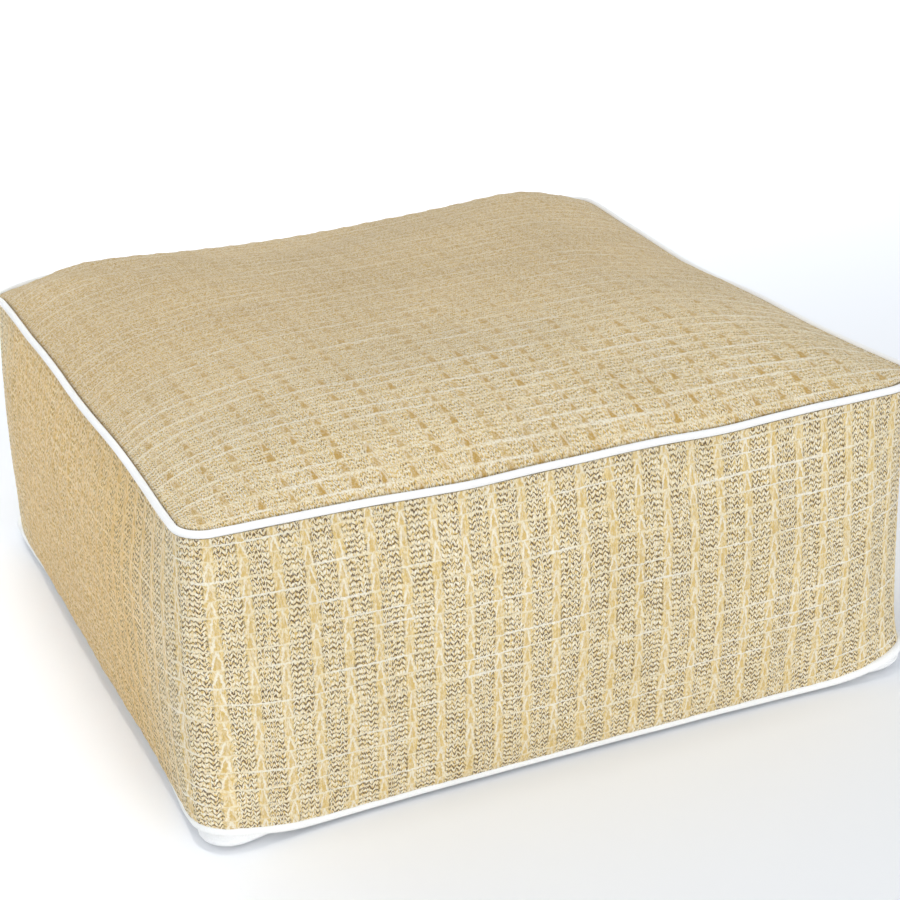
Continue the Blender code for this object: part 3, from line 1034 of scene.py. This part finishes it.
def makeTop():
    n = topSheet["cells"]
    line = np.linspace(-1, 1, n + 1)
    q, p = np.meshgrid(line, line, indexing="ij")
    top = crownPoint(p, q, pouf["rimInset"])
    where = (line + 1) / 2 * cushion["cells"]
    top += resample(topMove, where, where, False)
    normal = normalsOf(top, False)
    u, v = topCloth(top[..., 0], top[..., 1])
    lift = weaveRelief(topSheet, u, v, distanceToEdge(p, q))
    outer = top + normal * lift[..., None]
    inner = top - normal * topSheet["thick"]
    points = np.concatenate([outer.reshape(-1, 3), inner.reshape(-1, 3)])
    size = (n + 1) ** 2
    faces = gridFaces(n + 1, n + 1)
    ring = rimOf(np.arange(size).reshape(n + 1, n + 1))
    after = np.roll(ring, -1)
    rim = np.stack([ring + size, after + size, after, ring], -1)
    allFaces = np.concatenate([faces, faces[:, ::-1] + size, rim])
    flat = np.stack([u.ravel(), v.ravel()], -1)
    cloth = np.concatenate([flat, flat])[allFaces]
    bake = cloth / bakeLayout["sheetAcross"] + 0.5
    hidden = np.arange(len(allFaces)) >= len(faces)
    bake[hidden] = bakeCorner(cloth[hidden], bakeLayout["sheetAcross"])
    piece = addMesh("straw_top_panel", points, allFaces.tolist(), {"Cloth": cloth, "OFBake": bake})
    finishPiece(piece, strawCloth("straw top", topLook), "straw_top", "top_panel")
    print("top panel:", len(piece.data.polygons), "faces")


makeTop()

bottomSheet = {
    "columns": 480,
    "steps": 32,
    "thick": 0.0016,
    "inward": (0.93, 0.8, 0.6, 0.35, 0.12),  # sizes of the rings in the flat middle
    "folds": ((0.9, 0.0005), (1.7, 0.0006), (2.5, 0.0004)),  # steps from the rim, height
    "foldWidth": 0.22,
    # painted light: as white as the colour goes, to offset the shade on the cloth's underside
    "tint": shade(255, 255, 254),
    "rough": 0.82,
    "threads": 1500.0,
    "depth": 0.0002,
}


def makeBottom():
    columns, steps = bottomSheet["columns"], bottomSheet["steps"]
    t = np.arange(columns) * 4 / columns
    station = outline(t)
    edge = np.linspace(0, 4, steps + 1)
    rings = [basePoint(station, np.full(t.shape, step)) for step in edge]
    last = rings[-1]
    for scale in bottomSheet["inward"]:
        rings.append(last * (scale, scale, 1))
    outer = np.stack(rings)
    normal = normalsOf(outer, True)
    inner = outer + normal * bottomSheet["thick"]
    crease = np.zeros(outer.shape[:2])
    share = np.clip(station["liftShare"].sum(-1), 0, 1)
    for at, deep in bottomSheet["folds"]:
        crease[: steps + 1] += np.exp(-((edge[:, None] - at) / bottomSheet["foldWidth"]) ** 2) * share * deep
    outer = outer + normal * crease[..., None]
    count = len(outer)
    size = count * columns
    points = np.concatenate([outer.reshape(-1, 3), inner.reshape(-1, 3)])
    faces = gridFaces(count, columns, True)
    ring = np.arange(columns)
    after = np.roll(ring, -1)
    rim = np.stack([ring, after, after + size, ring + size], -1)
    allFaces = np.concatenate([faces[:, ::-1], faces + size, rim]).tolist()
    lastRing = (count - 1) * columns + ring
    allFaces.append(tuple(int(i) for i in lastRing[::-1]))
    allFaces.append(tuple(int(i) for i in lastRing + size))
    corners = np.concatenate([points[list(face)][:, :2] for face in allFaces])
    bake = np.clip(corners / bakeLayout["sheetAcross"] + 0.5, 0, 1)
    piece = addMesh("white_bottom_panel", points, allFaces, {"OFBake": bake})
    material = whiteCloth("white bottom cloth", bottomSheet["tint"], bottomSheet)
    finishPiece(piece, material, "white_cloth", "bottom_panel")
    print("bottom panel:", len(piece.data.polygons), "faces")


makeBottom()

# Radius and tint of the bottom piping first, then of the top one
piping = {
    "points": 720,
    "wobble": 0.00012,
    "wobbleLength": 0.05,
    "wobbleSeed": 31,
    "resolution": 5,
    "radius": (0.0038, 0.0029),
    # painted light: the bottom piping is whiter than the top one, to offset the shade on its downward side
    "tint": (shade(255, 255, 253), shade(250, 249, 246)),
    "rough": 0.62,
    "threads": 1300.0,
    "depth": 0.00015,
}


def makePiping(name, share, materialName, slot, node):
    # share 0 at the bottom seam, 1 at the top seam
    t = np.arange(piping["points"]) * 4 / piping["points"]
    line = seamPoint(outline(t), np.full(t.shape, float(share)))
    run = np.cumsum(np.linalg.norm(np.diff(line, axis=0, append=line[:1]), axis=1))
    seed = piping["wobbleSeed"] + share
    line[:, 2] += piping["wobble"] * ripple(run, run * 0, seed, piping["wobbleLength"])
    line[:, 0] += middleX
    line[:, 1] += middleY
    bpy.ops.object.select_all(action="DESELECT")
    curve = bpy.data.curves.new(name, "CURVE")
    curve.dimensions = "3D"
    curve.bevel_depth = piping["radius"][share]
    curve.bevel_resolution = piping["resolution"]
    curve.twist_mode = "Z_UP"
    spline = curve.splines.new("POLY")
    spline.points.add(len(line) - 1)
    spline.points.foreach_set("co", np.concatenate([line, np.ones((len(line), 1))], -1).ravel())
    spline.use_cyclic_u = True
    piece = bpy.data.objects.new(name, curve)
    bpy.context.scene.collection.objects.link(piece)
    activate(piece)
    bpy.ops.object.convert(target="MESH")
    piece = bpy.context.view_layer.objects.active
    finishPiece(piece, whiteCloth(materialName, piping["tint"][share], piping), slot, node)
    print(name, len(piece.data.polygons), "faces")


makePiping("white_top_piping", 1, "white piping", "white_piping", "top_piping")
makePiping("white_bottom_piping", 0, "white piping low", "white_piping_low", "bottom_piping")

studio = {
    "floor": shade(244, 245, 247),
    "floorSize": 30,
    "floorPlace": (0, 6, -0.0004),
    "floorRough": 0.7,
    "floorGloss": 0.15,
    "world": 0.62,
    "worldTint": (0.90, 0.97, 1.07, 1),
}

# place, aim, power, width, height, spread in degrees, colour
lights = {
    "key_light": ((-0.3, -0.45, 3.0), (-0.3, -0.45, 0), 18.8, 0.9, 0.9, 180, (1.0, 0.97, 0.90)),
    "fill_light": ((0.7, -4.2, 1.0), (0, 0, 0.15), 56.5, 2.6, 1.2, 180, (1.0, 0.975, 0.94)),
    "back_light": ((1.4, 3.9, 2.3), (1.4, 3.9, 0), 308.0, 6.4, 2.4, 124, (1.0, 0.99, 0.97)),
    "side_light": ((-1.5, -0.8, 1.5), (-1.0, -0.35, 0), 6.2, 1.2, 1.6, 180, (1.0, 0.96, 0.89)),
    "left_light": ((-0.65, -0.05, 2.4), (-0.65, -0.05, 0), 1.3, 0.3, 1.0, 18, (1.0, 0.99, 0.98)),
}

# Fitted to the corners and edges of both pipings; the place is from the middle of the pouf
photoCamera = {
    "place": (-0.61695, -1.53228, 0.83968),
    "angles": (66.960, 2.086, -23.561),
    "sensor": 36.0,
    "lens": 83.19,
    "clip": (0.05, 60.0),
}


def areaLight(name, place, aim, power, width, height, spread, colour):
    bpy.ops.object.select_all(action="DESELECT")
    bpy.ops.object.light_add(type="AREA", location=place)
    light = bpy.context.view_layer.objects.active
    light.name = name
    light.data.shape = "RECTANGLE"
    light.data.size, light.data.size_y = width, height
    light.data.spread = math.radians(spread)
    light.data.energy = power
    light.data.color = colour
    light.rotation_euler = (Vector(aim) - Vector(place)).to_track_quat("-Z", "Y").to_euler()


bpy.ops.object.select_all(action="DESELECT")
bpy.ops.mesh.primitive_plane_add(size=studio["floorSize"], location=studio["floorPlace"])
floor = bpy.context.view_layer.objects.active
floor.name = "studio_floor"
floorPaint = Paint("pale studio floor")
floorPaint.set(
    Base_Color=studio["floor"],
    Roughness=studio["floorRough"],
    Specular_IOR_Level=studio["floorGloss"],
)
floor.data.materials.append(floorPaint.material)
for name, settings in lights.items():
    areaLight(name, *settings)
world = bpy.data.worlds.new("studio_world")
world.use_nodes = True
background = world.node_tree.nodes["Background"]
background.inputs["Color"].default_value = studio["worldTint"]
background.inputs["Strength"].default_value = studio["world"]
bpy.context.scene.world = world
bpy.context.scene.view_settings.view_transform = "Standard"
bpy.context.scene.view_settings.look = "None"

cameraX, cameraY, cameraZ = photoCamera["place"]
bpy.ops.object.camera_add(location=(middleX + cameraX, middleY + cameraY, cameraZ))
camera = bpy.context.view_layer.objects.active
camera.name = "photo_camera"
camera.rotation_euler = tuple(math.radians(angle) for angle in photoCamera["angles"])
camera.data.sensor_width = photoCamera["sensor"]
camera.data.lens = photoCamera["lens"]
camera.data.clip_start, camera.data.clip_end = photoCamera["clip"]
bpy.context.scene.camera = camera
print("studio ready")
